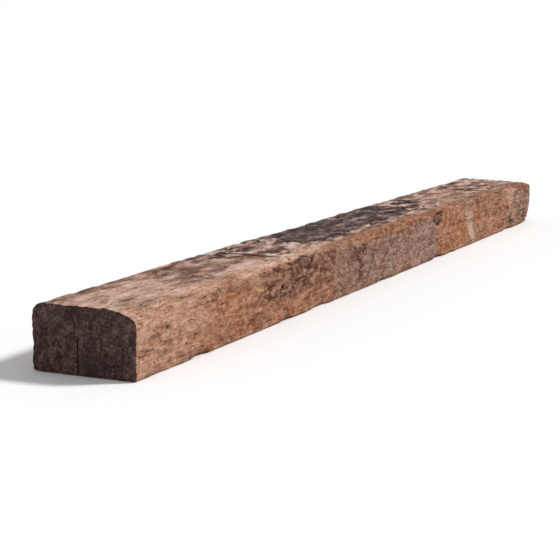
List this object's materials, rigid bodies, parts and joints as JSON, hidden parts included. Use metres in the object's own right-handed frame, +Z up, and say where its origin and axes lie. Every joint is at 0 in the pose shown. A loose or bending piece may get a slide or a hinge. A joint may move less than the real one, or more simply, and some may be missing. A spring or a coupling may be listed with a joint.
{
  "type": "railway sleeper",
  "caption": "Used timber railway sleeper: a sawn rectangular beam with worn arrises, a waney top edge, end checks and screw holes at the rail seats.",
  "frame": {"origin": "middle of the bed, the wide face that the sleeper lies on", "axes": "+X along the sleeper, +Y across it, +Z up from the bed; the waney top arris is at -Y and starts at the -X end"},
  "size_m": [2.6, 0.24, 0.14],
  "materials": {
    "weathered_timber": "creosoted, weathered and rough"
  },
  "bodies": {
    "root": {"sleeper": "weathered_timber"}
  },
  "joints": []
}
